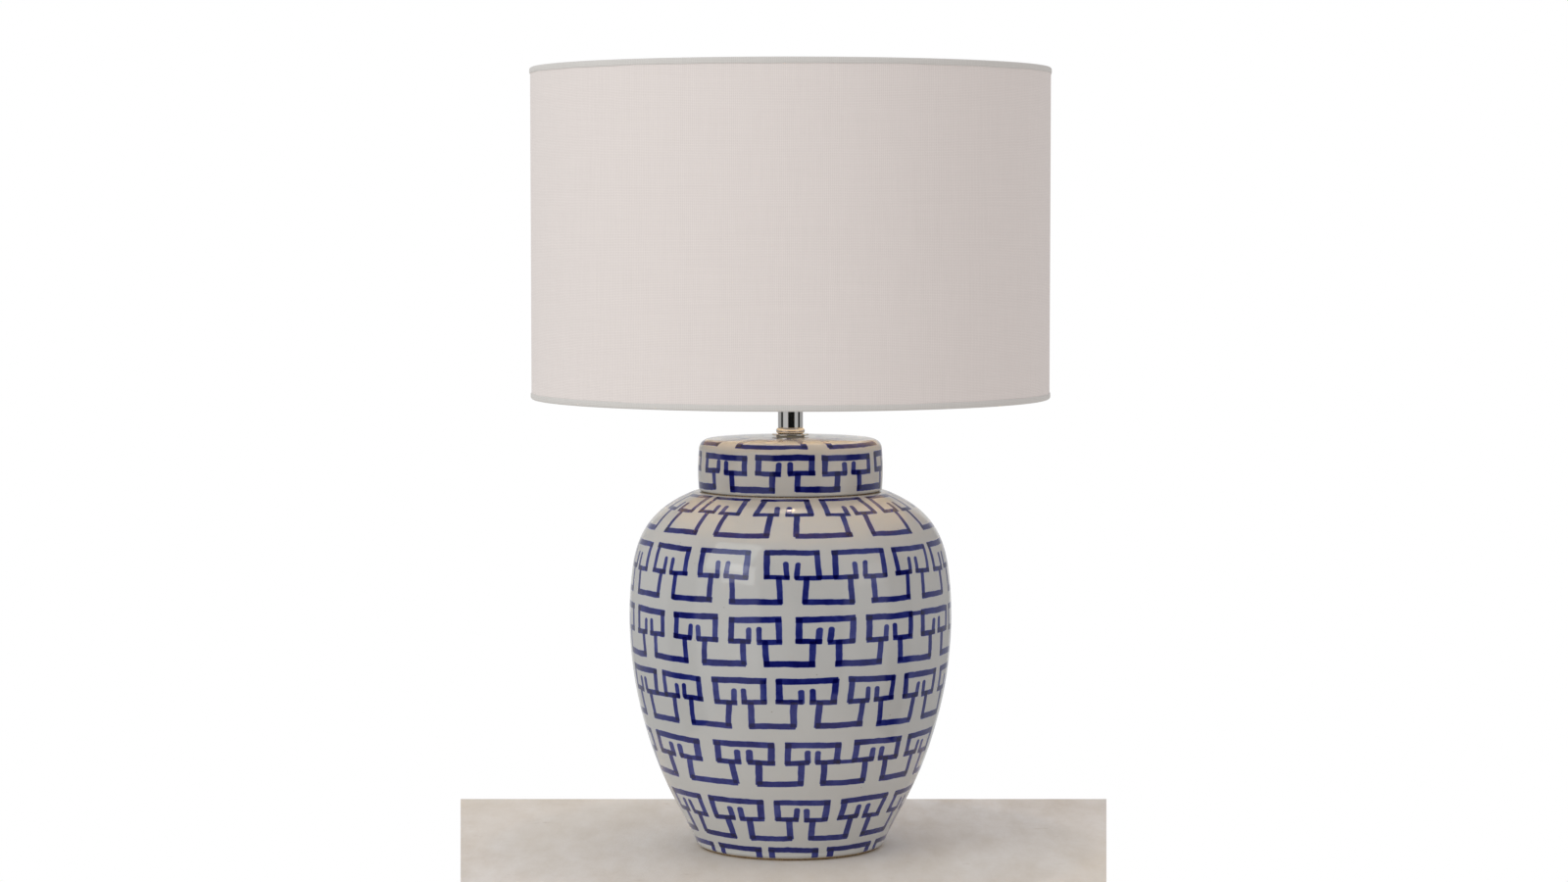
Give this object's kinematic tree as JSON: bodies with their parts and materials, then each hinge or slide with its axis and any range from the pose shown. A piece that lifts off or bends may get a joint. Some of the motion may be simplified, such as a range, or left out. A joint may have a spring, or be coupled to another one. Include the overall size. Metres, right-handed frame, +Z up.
{
  "type": "table lamp",
  "caption": "Table lamp: a round ceramic ginger jar with a lid, a blue painted fret, a short metal neck and a fabric drum shade.",
  "frame": {"origin": "middle of the foot, on the surface that the lamp stands on", "axes": "+Z up along the jar's, neck's and shade's common axis; -Y is the front; the cord bush is at the back, +Y"},
  "size_m": [0.35, 0.35, 0.5255],
  "materials": {
    "glazed_jar": "glossy white glaze with a blue painted fret",
    "cork": "fine cork sheet",
    "rubber": "matt",
    "clear_washer": "translucent plastic",
    "bush_plastic": "moulded, satin",
    "zinc_steel": "zinc plated",
    "chrome": "polished",
    "holder_plastic": "moulded, satin gloss",
    "holder_ceramic": "unglazed porcelain",
    "brass": "machined",
    "nickel": "nickel plated, slightly dull",
    "shade_cloth": "plain woven cotton with slubs",
    "hem_cloth": "plain woven cotton tape, folded",
    "shade_lining": "translucent styrene film",
    "frame_wire": "white powder coat",
    "clear_glass": "clear",
    "black_glass": "black vitreous",
    "phosphor": "yellow phosphor coat",
    "tinned": "soft solder"
  },
  "bodies": {
    "base": {"jar_body": "glazed_jar", "jar_lid": "glazed_jar", "lid_gasket": "cork", "foot_ring": "cork", "cord_bush": "bush_plastic", "base_rubber_washer": "rubber", "base_steel_washer": "zinc_steel", "base_lock_washer": "zinc_steel", "base_nut": "zinc_steel", "threaded_rod": "zinc_steel", "neck_cushion": "clear_washer", "neck_disc": "chrome", "neck_bead": "chrome", "neck_tube": "chrome", "neck_seat": "chrome", "holder_cap": "holder_plastic", "holder_skirt": "holder_plastic", "holder_locking_screw": "zinc_steel", "holder_insert": "holder_ceramic", "holder_screw_shell": "brass", "holder_centre_contact": "brass", "holder_rivets": "brass", "holder_terminals": "brass", "holder_terminal_screws": "zinc_steel", "shade_ring_lower": "holder_plastic"},
    "shade": {"shade_fabric": "shade_cloth", "shade_liner": "shade_lining", "shade_hem_bottom": "hem_cloth", "shade_hem_top": "hem_cloth", "shade_wire_bottom": "frame_wire", "shade_wire_top": "frame_wire", "fitter_ring": "frame_wire", "fitter_arm_1": "frame_wire", "fitter_arm_2": "frame_wire", "fitter_arm_3": "frame_wire"},
    "shade_ring": {"shade_ring_upper": "holder_plastic"},
    "bulb_tip": {"bulb_contact": "tinned"},
    "bulb": {"bulb_insulator": "black_glass", "bulb_cap": "nickel", "bulb_globe": "clear_glass", "bulb_stem": "clear_glass", "bulb_filaments": "phosphor"}
  },
  "joints": [
    {"name": "shade_turn", "type": "hinge", "parent": "base", "child": "shade", "pos_m": [0, 0, 0.32925], "axis": [0, 0, 1], "continuous": true},
    {"name": "shade_ring_rise", "type": "slide", "parent": "base", "child": "shade_ring", "axis": [0, 0, 1], "range_m": [0, 0.026]},
    {"name": "bulb_rise", "type": "slide", "parent": "base", "child": "bulb_tip", "axis": [0, 0, 1], "range_m": [0, 0.02]},
    {"name": "bulb_turn", "type": "hinge", "parent": "bulb_tip", "child": "bulb", "pos_m": [0, 0, 0.338], "axis": [0, 0, 1], "range_deg": [0, 1980]}
  ],
  "couplings": [
    {"joint": "bulb_rise", "follows": "bulb_turn", "m_per_rad": 0.00057614}
  ]
}
